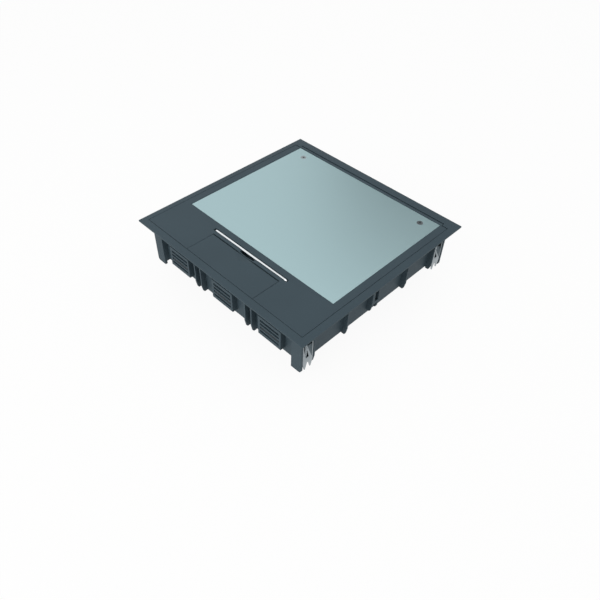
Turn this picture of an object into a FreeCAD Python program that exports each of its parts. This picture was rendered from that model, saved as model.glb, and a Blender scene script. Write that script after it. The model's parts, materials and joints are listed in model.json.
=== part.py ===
import FreeCAD, Part
import math
import os
from FreeCAD import Vector

# Square in-floor socket box: a moulded frame with a hinged, steel-faced lid, three
# device carriers with their wiring cups, and four screw-driven corner claws.
# Millimetres. X runs along the front edge, Y from the cord outlet to the hinge, Z up.
# Heights are written from the lid's top plane down and lifted by HEIGHT on export, so
# that the origin is the centre of the plane that the wiring cups stand on.

# ---------------------------------------------------------------- driving sizes
CUT_OUT = 244.0           # square hole in the floor that the frame drops into
CUT_OUT_CLEARANCE = 0.6   # frame to the hole, each side

FLANGE_COVER = 10.0       # flange past the hole, each side
FLANGE_T = 3.1            # flange thickness
BEVEL_W = 8.0             # sloped border of the flange
BEVEL_DROP = 1.2          # fall of that slope
RIM_LAND = 0.2            # flat between the slope and the lid
RIB_REACH = 7.1           # ribs, racks and legs out of the wall
WALL_T = 2.3
WALL_DEPTH = 56.0
SHELF_DEPTH = 6.3         # underside of the stepped seat inside the flange
SHELF_OUT = 3.5           # how far that seat stands out of the wall
RIB_T = 2.0

LID_GAP = 0.4             # lid edge to frame
LIP_T = 1.5               # lid border that lies on the frame
LID_SKIN = 2.4            # lid top in front of the steel plate
PAN_DEPTH = 4.0           # underside of the lid below the steel plate
PAN_WALL = 1.25           # wall round the plate recess
SEAT_GAP = 0.1            # lid border to its seat
SKIRT_DEPTH = 11.0        # stiffening skirt under the lid
SKIRT_T = 1.8
SKIRT_GAP = 0.8           # skirt to the frame's wall
LID_RIB_DEPTH = 9.0
LID_RIB_T = 1.6
LID_RIB_PITCH = 56.0

PLATE_BORDER = 9.8        # lid border beside and behind the steel inlay
PLATE_LAND = 54.3         # lid border in front of it
PLATE_T = 2.0
PLATE_GAP = 0.25
PLATE_SINK = 0.2          # plate top below the plastic
PLATE_BREAK = 0.3         # broken top edge

HINGE_INSET = 6.8         # hinge axis in from the lid's opening
BARREL_R = 2.6            # lid barrel, top flush with the lid
HINGE_GAP = 0.3           # barrel to its trough
PIN_R = 1.2
PIN_PLAY = 0.05           # pin to the lid's bore, radial
PIN_LENGTH = 32.0
PIN_END_GAP = 0.5         # pin end to the end of its bore
KNUCKLE_X = 70.0          # frame knuckles either side of the middle
KNUCKLE_W = 12.0
BEAM_DEPTH = 7.4          # underside of the trough
CORNER_RELIEF = 1.0       # extra room for the lid's rear corners as it swings

WIRE_R = 1.5              # pull-up handle
HANDLE_X = 57.0           # handle legs either side of the middle
HANDLE_SETBACK = 10.0     # wire in front of the steel inlay
HANDLE_FOLD = 1.6         # how far the wire's folds cut its corners
HANDLE_TRAVEL = 18.0
WIRE_PLAY = 0.08          # wire to its guide, radial
WIRE_PROUD = 0.1          # wire above the lid's top plane
GROOVE_GAP = 0.6          # wire to the sides of its groove
GROOVE_FLOOR_GAP = 0.2    # wire to the floor of its groove
GUIDE_W = 9.0             # square guide boss under the lid
GUIDE_DEPTH = 9.0
CLIP_W = 8.0              # square push-on clip
CLIP_T = 1.2
NOTCH_W = 22.0            # finger notch in front of the handle
NOTCH_LENGTH = 2.6
NOTCH_DEPTH = 8.0
SCOOP_R = 16.0            # shallow dish in front of the notch, at the surface
SCOOP_FLAT = 5.0
SCOOP_DEPTH = 2.0

FLAP_W = 105.6            # cord outlet flap
FLAP_SETBACK = 6.5        # flap's rear edge in front of the wire
FLAP_R = 2.4              # rounded rear edge of the flap, about its hinge
FLAP_LEDGE = 3.0          # lid ledge under each side of the flap
FLAP_LEDGE_T = 1.5
FLAP_ROLL_GAP = 0.6       # ledge to the flap's rounded edge
CHEEK_T = 3.3
CHEEK_DEPTH = 7.0
TRUNNION_R = 1.2
TRUNNION_LENGTH = 2.6
TRUNNION_PLAY = 0.05
TRUNNION_END_GAP = 0.2

LEG_W = 14.0              # corner legs, seen from the front
LEG_T = 2.9
LEG_DEPTH = 60.0
LEG_ROUND = 3.0
BAY_W = 15.5              # claw bay, from its rib to the leg
BAY_RIB_DEPTH = 58.0
BAY_ROOF_DEPTH = 10.0
PIVOT_OUT = 3.7           # claw pivot out of the wall
PIVOT_DEPTH = 14.0
LUG_W = 2.0               # square lug that each cheek hangs by
LUG_WINDOW = 2.6          # square window that the lug rocks in
LUG_REACH = 2.0           # lug length past the cheek
CLAW_EAR = 2.3            # cheek round the lug, either side of the pivot

CLAW_SCREW_R = 1.75       # M3.5
CLAW_SCREW_PLAY = 0.06
CLAW_HEAD_R = 3.0
CLAW_HEAD_T = 2.4
CLAW_HEAD_SEAT = 7.0      # depth of the floor of the head's well
CLAW_HEAD_GAP = 0.2       # head to the sides of its square well
CLAW_SCREW_END = 57.5
NUT_TOP = 46.0            # depth of the nut's top at rest
NUT_T = 6.0
NUT_W = 10.0
NUT_OUT = (0.3, 5.1)      # from the wall
CLAW_T = 1.2              # claw sheet
CLAW_SIDE_GAP = 0.55      # cheeks to the bay's sides
CLAW_PLAY = 0.3           # nut to ramp
CLAW_RAMP = 20.0          # degrees off the vertical
CLAW_RAMP_TOP = 33.0
CLAW_PRONG_TOP = 51.0
CLAW_TIP = 60.5
PRONG_GAP = 2.0           # between the two prongs
PRONG_POINT = 1.0         # width of a prong's tip
FORK_END = 2.0            # foot of the ramp's fork above the nut's top

RIB_X = (37.0, 47.0)      # rib pairs on the front and back walls
RIB_Y = 51.0              # ribs on the side walls
RIB_DEPTH = 56.5
RIB_TAPER = 10.0          # height of the slope at a rib's foot
RIB_FOOT = 4.2            # rib width at its foot
RIB_TOE = (1.2, 1.6)      # sloped toe: out and up
CLIP_POCKET_Y = -5.2      # latch pocket on each side wall
CLIP_POCKET_W = 12.0
CLIP_POCKET_DEPTH = 50.0
CLIP_WEB_W = 4.2

RACK_W = 34.0             # height racks on the front and back walls
RACK_TOP = 22.0
RACK_LEAD = 5.5           # top of a rack to its first slot's middle
RACK_FOOT = 4.2           # last slot to the foot of the rack
RACK_T = 2.0
RACK_SLOTS = 4
RACK_SLOT_IN = 3.0        # end of a slot from the side of the rack
RACK_SLOT_H = 3.0
RACK_PITCH = 5.2
RACK_LATCH = 2            # slot that the carrier hooks into, counted from 0

CARRIER_SPACING = 2.0     # between two carriers
CARRIER_SIDE_GAP = 0.5    # outer carriers to the side walls
CARRIER_GAP = 1.4         # carrier end to the wall
DECK_DEPTH = 46.0         # underside of the deck
DECK_T = 2.4
RIM_HEIGHT = 6.0
RIM_T = 1.6
LATCH_SIDE_GAP = 1.0      # latch to the ends of its slot
LATCH_T = 2.0
LATCH_TOP = 26.0
LATCH_GAP = 0.6
TOOTH_PLAY = 0.8          # tooth in the height of its slot
TOOTH_GAP = 0.4           # tooth inside the rack's outer face

MODULE = 45.0             # device face
MODULE_GAP = 0.2
MODULE_COUNT = 4
BODY_INSET = 1.8          # device body in from its face's edge
BODY_GAP = 0.2
FACE_T = 2.2

CUP_SIDE_ROOM = 5.3       # device bodies to the cup's sides
CUP_END_ROOM = 6.5        # device bodies to the cup's ends
WIRING_ROOM = 5.6         # under the sockets
CUP_WALL = 2.0
CUP_CHAMFER = 4.0
ENTRY_R = 7.0             # cable entries
ENTRY_X = 13.0
ENTRY_FLOOR = 2.5         # cup floor to the foot of the entries, low under the frame's walls

SOCKET_DEPTH = 26.0
RECESS_R = 19.5
RECESS_DEPTH = 17.5
PIN_HOLE_R = 2.6
PIN_HOLE_X = 9.5
PIN_HOLE_DEPTH = 5.0
GUIDE_NIB = (5.0, 2.8)    # width and reach of the recess's side guides
EARTH_W = 5.0
EARTH_T = 1.0
EARTH_BOW = 1.6
EARTH_TOP = 3.0           # upper end of a clip below the face

DATA_DEPTH = 21.0
JACK_W = 15.0
JACK_H = 17.0
JACK_X = 10.5
JACK_GAP = 0.1            # jack to its pocket
JACK_SINK = 0.4           # jack below the face
JACK_SHORT = 1.0          # jack above the pocket's foot
PORT_W = 11.8
PORT_H = 7.4
PORT_DEPTH = 13.0
PORT_LATCH = (6.0, 2.4)   # width and reach of the latch notch
BLANK_DEPTH = 6.0
BLANK_WALL = 1.6

CLAMP_END = 1.0           # cable saddle bars on the cup ends, past the entries
CLAMP_T = 6.0
CLAMP_SHELF = 3.0
SADDLE_RISE = 1.5         # bar above the foot of the entries
SADDLE_GAP = 0.3          # saddle outside the entry that it lines up with
CLAMP_SCREW_R = 1.75
CLAMP_HEAD_R = 3.2
CLAMP_HEAD_T = 2.4
CLAMP_SCREW_FLOOR = 1.0   # plastic left under the screw

PLATE_SCREW_IN = (19.0, 13.5)   # screws in from the plate's sides and rear
PLATE_SCREW_R = 1.75
PLATE_SCREW_LENGTH = 9.5
SCREW_BOSS_W = 8.4

# ---------------------------------------------------------------- derived places
HALF = CUT_OUT / 2 + FLANGE_COVER
RIM = HALF - BEVEL_W - RIM_LAND
LOCATE = CUT_OUT / 2 - CUT_OUT_CLEARANCE
WALL = LOCATE - RIB_REACH
CAVITY = WALL - WALL_T
SHELF = WALL + SHELF_OUT
PLATE_HALF = RIM - PLATE_BORDER
PLATE_FRONT = PLATE_LAND - RIM
PLATE_SCREW_X = PLATE_HALF - PLATE_SCREW_IN[0]
PLATE_SCREW_Y = PLATE_HALF - PLATE_SCREW_IN[1]
PLATE_HEAD_R = PLATE_SCREW_R + PLATE_T
RECESS_HALF = PLATE_HALF + PLATE_GAP
RECESS_FRONT = PLATE_FRONT - PLATE_GAP
RECESS_FLOOR = PLATE_T + PLATE_SINK
PAN_HALF = RECESS_HALF + PAN_WALL
PAN_SEAT = PAN_HALF + LID_GAP
LIP_SEAT = LIP_T + SEAT_GAP
LID_HALF = RIM - LID_GAP
HINGE_Y = RIM - HINGE_INSET
TROUGH_R = BARREL_R + HINGE_GAP
LIP_END = HINGE_Y - BARREL_R - LID_GAP
CORNER_SEAT = LIP_END + LID_GAP + CORNER_RELIEF
HANDLE_Y = PLATE_FRONT - HANDLE_SETBACK
HANDLE_Z = WIRE_PROUD - WIRE_R
HANDLE_FOOT = -(GUIDE_DEPTH + HANDLE_TRAVEL + CLIP_T + SEAT_GAP)
GROOVE = WIRE_R + GROOVE_GAP
FLAP_REAR = HANDLE_Y - FLAP_SETBACK
FLAP_HALF = FLAP_W / 2
FLAP_OPENING = FLAP_HALF + LID_GAP
FLAP_AXIS_Y = FLAP_REAR - FLAP_R
FLAP_CLEAR_Y = FLAP_AXIS_Y - FLAP_R - FLAP_ROLL_GAP
LEG_IN = LOCATE - LEG_T
BAY_RIB = LEG_IN - BAY_W
BAY_MIDDLE = (BAY_RIB + LEG_IN) / 2
CLAW_W = BAY_W - 2 * CLAW_SIDE_GAP
SCREW_U = WALL + (NUT_OUT[0] + NUT_OUT[1]) / 2
PIVOT_U = WALL + PIVOT_OUT
RACK_FIRST = RACK_TOP + RACK_LEAD
RACK_DEPTH = RACK_FIRST + (RACK_SLOTS - 1) * RACK_PITCH + RACK_SLOT_H / 2 + RACK_FOOT
RACK_SLOT_W = RACK_W - 2 * RACK_SLOT_IN
LATCH_W = RACK_SLOT_W - 2 * LATCH_SIDE_GAP
TOOTH_H = RACK_SLOT_H - TOOTH_PLAY
DECK_TOP = DECK_DEPTH - DECK_T
FACE_TOP = DECK_TOP - FACE_T
CARRIER_W = (2 * CAVITY - 2 * CARRIER_SIDE_GAP - 2 * CARRIER_SPACING) / 3
CARRIER_PITCH = CARRIER_W + CARRIER_SPACING
CARRIER_X = (-CARRIER_PITCH, 0.0, CARRIER_PITCH)
CARRIER_NAMES = ("left", "centre", "right")
BODY_W = MODULE - 2 * BODY_INSET
MODULE_PITCH = MODULE + MODULE_GAP
DEVICE_Y = [MODULE_PITCH * (i - (MODULE_COUNT - 1) / 2) for i in range(MODULE_COUNT)]
CUP_W = BODY_W + 2 * (CUP_SIDE_ROOM + CUP_WALL)
CUP_LENGTH = DEVICE_Y[-1] - DEVICE_Y[0] + BODY_W + 2 * (CUP_END_ROOM + CUP_WALL)
HEIGHT = FACE_TOP + SOCKET_DEPTH + WIRING_ROOM + CUP_WALL
ENTRY_DEPTH = HEIGHT - CUP_WALL - ENTRY_FLOOR - ENTRY_R
CLAMP_W = 2 * (ENTRY_X + ENTRY_R + CLAMP_END)
CLAMP_H = CUP_WALL + ENTRY_FLOOR - CLAMP_SHELF + SADDLE_RISE
CLAMP_Y = (CUP_LENGTH + CLAMP_T) / 2
CORNERS = {"front_left": (-1, -1), "front_right": (1, -1),
           "rear_left": (-1, 1), "rear_right": (1, 1)}
THROUGH = 1.0             # how far a cutting tool runs past a face

X_AXIS = Vector(1, 0, 0)
Y_AXIS = Vector(0, 1, 0)
Z_AXIS = Vector(0, 0, 1)


# ---------------------------------------------------------------- helpers
def block(x0, x1, y0, y1, top, bottom):
    """A box between two X, two Y and two depths below the lid's top plane."""
    return Part.makeBox(x1 - x0, y1 - y0, bottom - top, Vector(x0, y0, -bottom))


def post(x, y, width, top, bottom):
    """An upright square post."""
    return block(x - width / 2, x + width / 2, y - width / 2, y + width / 2, top, bottom)


def rod(radius, start, direction, length):
    return Part.makeCylinder(radius, length, Vector(*start), direction)


def prism(points, direction, length):
    """Extrude a closed outline of 3-D points."""
    corners = [Vector(*p) for p in points]
    return Part.Face(Part.makePolygon(corners + corners[:1])).extrude(direction * length)


def fuse(shapes):
    shapes = list(shapes)
    return shapes[0].multiFuse(shapes[1:]).removeSplitter()


def upright_edges(shape):
    return [e for e in shape.Edges if abs(e.tangentAt(e.FirstParameter).z) > 0.99]


def swept(profile, path):
    """Sweep a closed profile along straight runs with mitred corners."""
    sweep = Part.BRepOffsetAPI.MakePipeShell(path)
    sweep.setTransitionMode(1)
    sweep.add(profile, False, False)
    sweep.build()
    sweep.makeSolid()
    return sweep.shape().removeSplitter()


def mirrored_x(shape):
    return shape.mirror(Vector(0, 0, 0), X_AXIS)


def mirrored_y(shape):
    return shape.mirror(Vector(0, 0, 0), Y_AXIS)


def to_corner(shape, sx, sy):
    """Mirror a piece made for the rear right corner into another one."""
    if sx < 0:
        shape = mirrored_x(shape)
    if sy < 0:
        shape = mirrored_y(shape)
    return shape


def four_ways(shape):
    return [to_corner(shape, sx, sy) for sx, sy in CORNERS.values()]


def export(name, shapes):
    if not isinstance(shapes, list):
        shapes = [shapes]
    shape = Part.makeCompound(shapes) if len(shapes) > 1 else shapes[0]
    shape = shape.copy()
    shape.translate(Vector(0, 0, HEIGHT))
    shape.exportStep(f"parts/{name}.step")


# ---------------------------------------------------------------- frame
def frame_ring():
    """Flange, stepped seat and wall in one section, swept round the square."""
    section = [
        (HALF, -BEVEL_DROP), (HALF - BEVEL_W, 0), (RIM, 0), (RIM, -LIP_SEAT),
        (PAN_SEAT, -LIP_SEAT), (PAN_SEAT, -PAN_DEPTH - LID_GAP), (CAVITY, -PAN_DEPTH - LID_GAP),
        (CAVITY, -WALL_DEPTH), (WALL, -WALL_DEPTH), (WALL, -SHELF_DEPTH),
        (SHELF, -SHELF_DEPTH), (SHELF, -FLANGE_T), (HALF, -FLANGE_T)]
    profile = Part.makePolygon([Vector(u, 0, z) for u, z in section + section[:1]])
    corners = [(CAVITY, 0), (CAVITY, CAVITY), (-CAVITY, CAVITY), (-CAVITY, -CAVITY),
               (CAVITY, -CAVITY), (CAVITY, 0)]
    path = Part.makePolygon([Vector(x, y, 0) for x, y in corners])
    return swept(profile, path)


def gusset(depth=RIB_DEPTH):
    """A rib in the X-Z plane against the right wall, centred on Y = 0."""
    outline = [(WALL, -FLANGE_T), (LOCATE, -FLANGE_T), (LOCATE, -depth + RIB_TAPER),
               (WALL + RIB_FOOT + RIB_TOE[0], -depth + RIB_TOE[1]), (WALL + RIB_FOOT, -depth),
               (WALL, -depth)]
    return prism([(u, -RIB_T / 2, z) for u, z in outline], Y_AXIS, RIB_T)


def on_side(shape, offset):
    """Move a right-wall piece along the wall."""
    shape = shape.copy()
    shape.translate(Vector(0, offset, 0))
    return shape


def on_rear(shape, offset):
    """Turn a right-wall piece onto the rear wall and move it along that wall."""
    shape = shape.copy()
    shape.rotate(Vector(0, 0, 0), Z_AXIS, 90)
    shape.translate(Vector(offset, 0, 0))
    return shape


def corner_leg():
    """Rear right corner: leg plate, its return, bay rib and the roof over the claw."""
    plate = block(LOCATE - LEG_W, LOCATE, LEG_IN, LOCATE, FLANGE_T, LEG_DEPTH)
    foot = [e for e in plate.Edges
            if e.CenterOfMass.isEqual(Vector(LOCATE, LOCATE - LEG_T / 2, -LEG_DEPTH), 0.01)]
    plate = plate.makeFillet(LEG_ROUND, foot)
    back = block(LOCATE - LEG_W, LOCATE - LEG_W + RIB_T, CAVITY, LEG_IN, FLANGE_T, WALL_DEPTH)
    rib = on_side(gusset(BAY_RIB_DEPTH), BAY_RIB - RIB_T / 2)
    roof = block(CAVITY, LOCATE, BAY_RIB - RIB_T, LEG_IN, FLANGE_T, BAY_ROOF_DEPTH)
    return [plate, back, rib, roof]


def corner_holes():
    """Screw hole, head well and claw lug windows of the rear right corner."""
    hole = rod(CLAW_SCREW_R + CLAW_SCREW_PLAY, (SCREW_U, BAY_MIDDLE, -BAY_ROOF_DEPTH - THROUGH),
               Z_AXIS, BAY_ROOF_DEPTH + THROUGH)
    well = CLAW_HEAD_R + CLAW_HEAD_GAP
    head = block(SCREW_U - well, SCREW_U + well, BAY_MIDDLE - well, BAY_MIDDLE + well, 0,
                 CLAW_HEAD_SEAT)
    end = BAY_MIDDLE + CLAW_W / 2 + LUG_REACH + CLAW_PLAY
    half = LUG_WINDOW / 2
    window = block(PIVOT_U - half, PIVOT_U + half, BAY_RIB - RIB_T - THROUGH, end,
                   PIVOT_DEPTH - half, PIVOT_DEPTH + half)
    return [hole, head, window]


def rack():
    """Rear-wall rack that carries a carrier at one of several heights: body and cuts."""
    half = RACK_W / 2
    body = block(-half, half, CAVITY, LOCATE, RACK_TOP, RACK_DEPTH)
    inner = half - RACK_T
    pocket = block(-inner, inner, CAVITY - THROUGH, LOCATE - RACK_T, RACK_TOP + RACK_T,
                   RACK_DEPTH - RACK_T)
    slots = []
    for i in range(RACK_SLOTS):
        middle = RACK_FIRST + i * RACK_PITCH
        slots.append(block(-RACK_SLOT_W / 2, RACK_SLOT_W / 2, LOCATE - RACK_T - THROUGH,
                           LOCATE + THROUGH, middle - RACK_SLOT_H / 2, middle + RACK_SLOT_H / 2))
    return body, [pocket] + slots


def latch_pocket():
    """Clip pocket on the right wall: two ribs, a narrow web and a foot bridge."""
    first = on_side(gusset(CLIP_POCKET_DEPTH), CLIP_POCKET_Y - CLIP_POCKET_W / 2 + RIB_T / 2)
    second = on_side(gusset(CLIP_POCKET_DEPTH), CLIP_POCKET_Y + CLIP_POCKET_W / 2 - RIB_T / 2)
    y0 = CLIP_POCKET_Y - CLIP_POCKET_W / 2
    top_of_slope = CLIP_POCKET_DEPTH - RIB_TAPER
    web = block(LOCATE - RIB_T, LOCATE, y0, y0 + CLIP_WEB_W, FLANGE_T, top_of_slope)
    bridge = block(LOCATE - RIB_T, LOCATE, y0, y0 + CLIP_POCKET_W,
                   top_of_slope - 2 * RIB_T, top_of_slope)
    return [first, second, web, bridge]


def frame():
    solids = [frame_ring()]
    # the rear edge is filled out to the barrel, over the beam that holds the trough
    solids.append(block(-RIM, RIM, CORNER_SEAT, RIM, 0, FLANGE_T))
    solids.append(block(-PAN_SEAT - RIB_T, PAN_SEAT + RIB_T, WALL, LOCATE, FLANGE_T, BEAM_DEPTH))
    for x in RIB_X:
        rib = on_rear(gusset(), x)
        solids += four_ways(rib)
    side = [on_side(gusset(), RIB_Y), on_side(gusset(), -RIB_Y)] + latch_pocket()
    solids += side + [mirrored_x(s) for s in side]
    for piece in corner_leg():
        solids += four_ways(piece)
    cuts = []
    rack_body, rack_cuts = rack()
    for x in CARRIER_X:
        for piece, group in [(rack_body, solids)] + [(cut, cuts) for cut in rack_cuts]:
            moved = piece.copy()
            moved.translate(Vector(x, 0, 0))
            group += [moved, mirrored_y(moved)]
    for cut in corner_holes():
        cuts += four_ways(cut)
    cuts.append(block(-PAN_SEAT, PAN_SEAT, -PAN_SEAT, HINGE_Y, -THROUGH, PAN_DEPTH + LID_GAP))
    cuts.append(rod(TROUGH_R, (-PAN_SEAT, HINGE_Y, -BARREL_R), X_AXIS, 2 * PAN_SEAT))
    cuts.append(block(-PAN_SEAT, PAN_SEAT, CAVITY - THROUGH, HINGE_Y + TROUGH_R,
                      -THROUGH, BARREL_R))
    cuts.append(block(-PAN_SEAT, PAN_SEAT, CAVITY - THROUGH, HINGE_Y, 0, BARREL_R + TROUGH_R))
    body = fuse(solids).cut(cuts)
    knuckles = []
    for side in (-1, 1):
        x0 = side * KNUCKLE_X - KNUCKLE_W / 2
        knuckles.append(rod(BARREL_R, (x0, HINGE_Y, -BARREL_R), X_AXIS, KNUCKLE_W))
        knuckles.append(block(x0, x0 + KNUCKLE_W, HINGE_Y - BARREL_R / 2, HINGE_Y + BARREL_R / 2,
                              BARREL_R, BEAM_DEPTH))
    body = fuse([body] + knuckles)
    pins = [rod(PIN_R, (side * KNUCKLE_X - PIN_LENGTH / 2, HINGE_Y, -BARREL_R), X_AXIS, PIN_LENGTH)
            for side in (-1, 1)]
    return body.cut(pins)


def hinge_pins():
    return [rod(PIN_R, (side * KNUCKLE_X - PIN_LENGTH / 2, HINGE_Y, -BARREL_R), X_AXIS, PIN_LENGTH)
            for side in (-1, 1)]


# ---------------------------------------------------------------- lid
def scoop():
    """Shallow cone that dishes the lid and the flap in front of the handle."""
    dish = Part.makeCone(SCOOP_FLAT, SCOOP_R, SCOOP_DEPTH, Vector(0, HANDLE_Y, -SCOOP_DEPTH))
    return dish.common(block(-SCOOP_R, SCOOP_R, HANDLE_Y - SCOOP_R, HANDLE_Y - GROOVE,
                             -THROUGH, SCOOP_DEPTH + THROUGH))


def lid_ribs():
    """Stiffening grid under the lid, clear of the cord outlet."""
    inner = CAVITY - SKIRT_GAP - SKIRT_T
    ribs = []
    count = int(inner // LID_RIB_PITCH)
    for i in range(-count, count + 1):
        at = i * LID_RIB_PITCH
        front = -inner if abs(at) > FLAP_OPENING + CHEEK_T else RECESS_FRONT
        ribs.append(block(at - LID_RIB_T / 2, at + LID_RIB_T / 2, front, inner,
                          LID_SKIN, LID_RIB_DEPTH))
        if at > RECESS_FRONT:
            ribs.append(block(-inner, inner, at - LID_RIB_T / 2, at + LID_RIB_T / 2,
                              LID_SKIN, LID_RIB_DEPTH))
    return ribs


def lid():
    solids = [block(-LID_HALF, LID_HALF, -LID_HALF, LIP_END, 0, LIP_T)]
    core = block(-PAN_HALF, PAN_HALF, -PAN_HALF, HINGE_Y, 0, PAN_DEPTH)
    hollow = block(-PAN_HALF + SKIRT_T, PAN_HALF - SKIRT_T, -PAN_HALF + SKIRT_T,
                   RECESS_FRONT - PAN_WALL, LID_SKIN, PAN_DEPTH + THROUGH)
    solids.append(core.cut(hollow))
    solids.append(rod(BARREL_R, (-PAN_HALF, HINGE_Y, -BARREL_R), X_AXIS, 2 * PAN_HALF))
    outer = CAVITY - SKIRT_GAP
    inner = outer - SKIRT_T
    skirt = block(-outer, outer, -outer, outer, LID_SKIN, SKIRT_DEPTH)
    solids.append(skirt.cut(block(-inner, inner, -inner, inner, 0, SKIRT_DEPTH + THROUGH)))
    solids += lid_ribs()
    # rail under the handle groove, with the pocket behind the finger notch
    rail_front = FLAP_REAR + LID_GAP
    rail_rear = HANDLE_Y + GUIDE_W / 2
    solids.append(block(-inner, inner, rail_front, rail_rear, LID_SKIN, PAN_DEPTH + WIRE_R))
    pocket_half = NOTCH_W / 2 + SKIRT_T
    solids.append(block(-pocket_half, pocket_half, rail_front, rail_rear, LID_SKIN,
                        NOTCH_DEPTH + SKIRT_T))
    for side in (-1, 1):
        solids.append(post(side * HANDLE_X, HANDLE_Y, GUIDE_W, LID_SKIN, GUIDE_DEPTH))
        solids.append(post(side * PLATE_SCREW_X, PLATE_SCREW_Y, SCREW_BOSS_W, PAN_DEPTH,
                           SKIRT_DEPTH))
        cheek = (FLAP_OPENING, FLAP_OPENING + CHEEK_T)
        x0, x1 = sorted(side * x for x in cheek)
        solids.append(block(x0, x1, -inner, rail_front, LID_SKIN, CHEEK_DEPTH))
    body = fuse(solids)

    cuts = [block(-RECESS_HALF, RECESS_HALF, RECESS_FRONT, RECESS_HALF, -THROUGH, RECESS_FLOOR)]
    # cord outlet: a through opening, with a ledge under each side of the flap
    ledge = FLAP_OPENING - FLAP_LEDGE
    deep = SKIRT_DEPTH + THROUGH
    front = -LID_HALF - THROUGH
    cuts.append(block(-ledge, ledge, front, rail_front, -THROUGH, deep))
    cuts.append(block(-FLAP_OPENING, FLAP_OPENING, front, rail_front, -THROUGH,
                      LID_SKIN + SEAT_GAP))
    cuts.append(block(-FLAP_OPENING, FLAP_OPENING, FLAP_CLEAR_Y, rail_front, -THROUGH, deep))
    cuts.append(block(-FLAP_OPENING, FLAP_OPENING, front, -PAN_HALF + SKIRT_T, -THROUGH, deep))
    cuts.append(block(-FLAP_OPENING, FLAP_OPENING, front, rail_front,
                      LID_SKIN + SEAT_GAP + FLAP_LEDGE_T, deep))
    reach = FLAP_HALF + TRUNNION_LENGTH + TRUNNION_END_GAP
    cuts.append(rod(TRUNNION_R + TRUNNION_PLAY, (-reach, FLAP_AXIS_Y, -FLAP_R), X_AXIS, 2 * reach))
    # handle groove, guide bores, finger notch and the dish in front of it
    groove_floor = WIRE_R - HANDLE_Z + GROOVE_FLOOR_GAP
    cuts.append(block(-HANDLE_X, HANDLE_X, HANDLE_Y - GROOVE, HANDLE_Y + GROOVE, -THROUGH,
                      groove_floor))
    half = NOTCH_W / 2
    notch_front = HANDLE_Y - GROOVE - NOTCH_LENGTH
    cuts.append(block(-half, half, notch_front, HANDLE_Y, -THROUGH, NOTCH_DEPTH))
    cuts.append(block(-half, half, notch_front, HANDLE_Y + GROOVE, WIRE_R, NOTCH_DEPTH))
    cuts.append(scoop())
    notch_x = KNUCKLE_W / 2 + HINGE_GAP
    for side in (-1, 1):
        x = side * HANDLE_X
        cuts.append(rod(WIRE_R + WIRE_PLAY, (x, HANDLE_Y, -GUIDE_DEPTH - THROUGH), Z_AXIS,
                        GUIDE_DEPTH + 2 * THROUGH))
        x0, x1 = sorted((x + side * GROOVE, x - side * (HANDLE_FOLD + GROOVE)))
        cuts.append(block(x0, x1, HANDLE_Y - GROOVE, HANDLE_Y + GROOVE, -THROUGH,
                          groove_floor + HANDLE_FOLD))
        cuts.append(rod(PLATE_SCREW_R, (side * PLATE_SCREW_X, PLATE_SCREW_Y,
                                        -PLATE_SINK - PLATE_SCREW_LENGTH), Z_AXIS,
                        PLATE_SCREW_LENGTH))
        x = side * KNUCKLE_X
        cuts.append(rod(TROUGH_R, (x - notch_x, HINGE_Y, -BARREL_R), X_AXIS, 2 * notch_x))
        bore = PIN_LENGTH / 2 + PIN_END_GAP
        cuts.append(rod(PIN_R + PIN_PLAY, (x - bore, HINGE_Y, -BARREL_R), X_AXIS, 2 * bore))
    return body.cut(cuts)


def lid_plate():
    """Steel inlay with a small broken edge and two countersunk holes."""
    plate = block(-PLATE_HALF, PLATE_HALF, PLATE_FRONT, PLATE_HALF, PLATE_SINK, RECESS_FLOOR)
    top = [e for e in plate.Edges if e.CenterOfMass.z > -PLATE_SINK - 0.01]
    plate = plate.makeChamfer(PLATE_BREAK, top)
    return plate.cut([plate_screw(side) for side in (-1, 1)])


def plate_screw(side):
    """Countersunk screw, flush with the plate, its head as deep as the plate is thick."""
    cone = PLATE_T
    head = Part.makeCone(PLATE_SCREW_R, PLATE_HEAD_R, cone,
                         Vector(side * PLATE_SCREW_X, PLATE_SCREW_Y, -PLATE_SINK - cone))
    shank = rod(PLATE_SCREW_R, (side * PLATE_SCREW_X, PLATE_SCREW_Y,
                                -PLATE_SINK - PLATE_SCREW_LENGTH), Z_AXIS,
                PLATE_SCREW_LENGTH - cone)
    return fuse([head, shank])


def plate_screws():
    return [plate_screw(side) for side in (-1, 1)]


def handle_bow():
    """Folded wire: a bar in the lid's groove with a leg down at each end."""
    right = [(HANDLE_X - HANDLE_FOLD, HANDLE_Z), (HANDLE_X, HANDLE_Z - HANDLE_FOLD),
             (HANDLE_X, HANDLE_FOOT)]
    left = [(-x, z) for x, z in reversed(right)]
    path = Part.makePolygon([Vector(x, HANDLE_Y, z) for x, z in left + right])
    start = Vector(-HANDLE_X, HANDLE_Y, HANDLE_FOOT)
    return swept(Part.Wire(Part.makeCircle(WIRE_R, start, Z_AXIS)), path)


def handle_clips():
    """Square clips pushed on the handle's feet, which stop it at full pull."""
    clips = []
    for side in (-1, 1):
        clip = post(side * HANDLE_X, HANDLE_Y, CLIP_W, -HANDLE_FOOT - CLIP_T, -HANDLE_FOOT)
        foot = (side * HANDLE_X, HANDLE_Y, HANDLE_FOOT)
        clips.append(clip.cut(rod(WIRE_R, foot, Z_AXIS, CLIP_T)))
    return clips


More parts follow.
